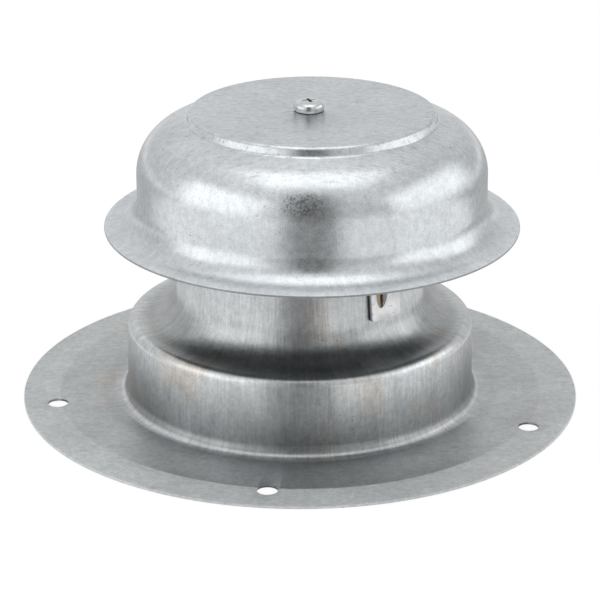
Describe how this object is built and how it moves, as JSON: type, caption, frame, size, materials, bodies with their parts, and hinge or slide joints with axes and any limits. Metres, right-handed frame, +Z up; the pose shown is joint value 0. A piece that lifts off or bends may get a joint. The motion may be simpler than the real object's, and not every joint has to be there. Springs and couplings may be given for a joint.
{
  "type": "plumbing vent cap",
  "caption": "Low roof vent for a plumbing pipe: drawn steel flashing with a collar and neck, strap bracket, and a domed rain cap held by a screw.",
  "frame": {"origin": "centre of the flange's underside, on the roof surface", "axes": "+Z up, along the neck; -Y is the front; the bracket's strap runs at -49 degrees from +X"},
  "size_m": [0.178, 0.178, 0.0976],
  "materials": {
    "flashing_steel": "galvanised sheet, drawn, with fine streaks",
    "strap_steel": "galvanised strap, matt, with rust in the pierced joints",
    "cap_steel": "galvanised sheet, drawn, satin with fine scratches",
    "fastener_zinc": "bright zinc plate"
  },
  "bodies": {
    "base": {"base_flashing": "flashing_steel", "bracket": "strap_steel", "screw_nut": "fastener_zinc"},
    "cap": {"rain_cap": "cap_steel"},
    "screw": {"cap_screw": "fastener_zinc"}
  },
  "joints": [
    {"name": "cap_rise", "type": "slide", "parent": "base", "child": "cap", "axis": [0, 0, 1], "range_m": [0, 0.00741]},
    {"name": "screw_turn", "type": "hinge", "parent": "cap", "child": "screw", "pos_m": [0.00276, -0.00317, 0.0943], "axis": [0, 0, 1], "range_deg": [0, 2520]}
  ],
  "couplings": [
    {"joint": "screw_turn", "follows": "cap_rise", "rad_per_m": 5936.9}
  ]
}
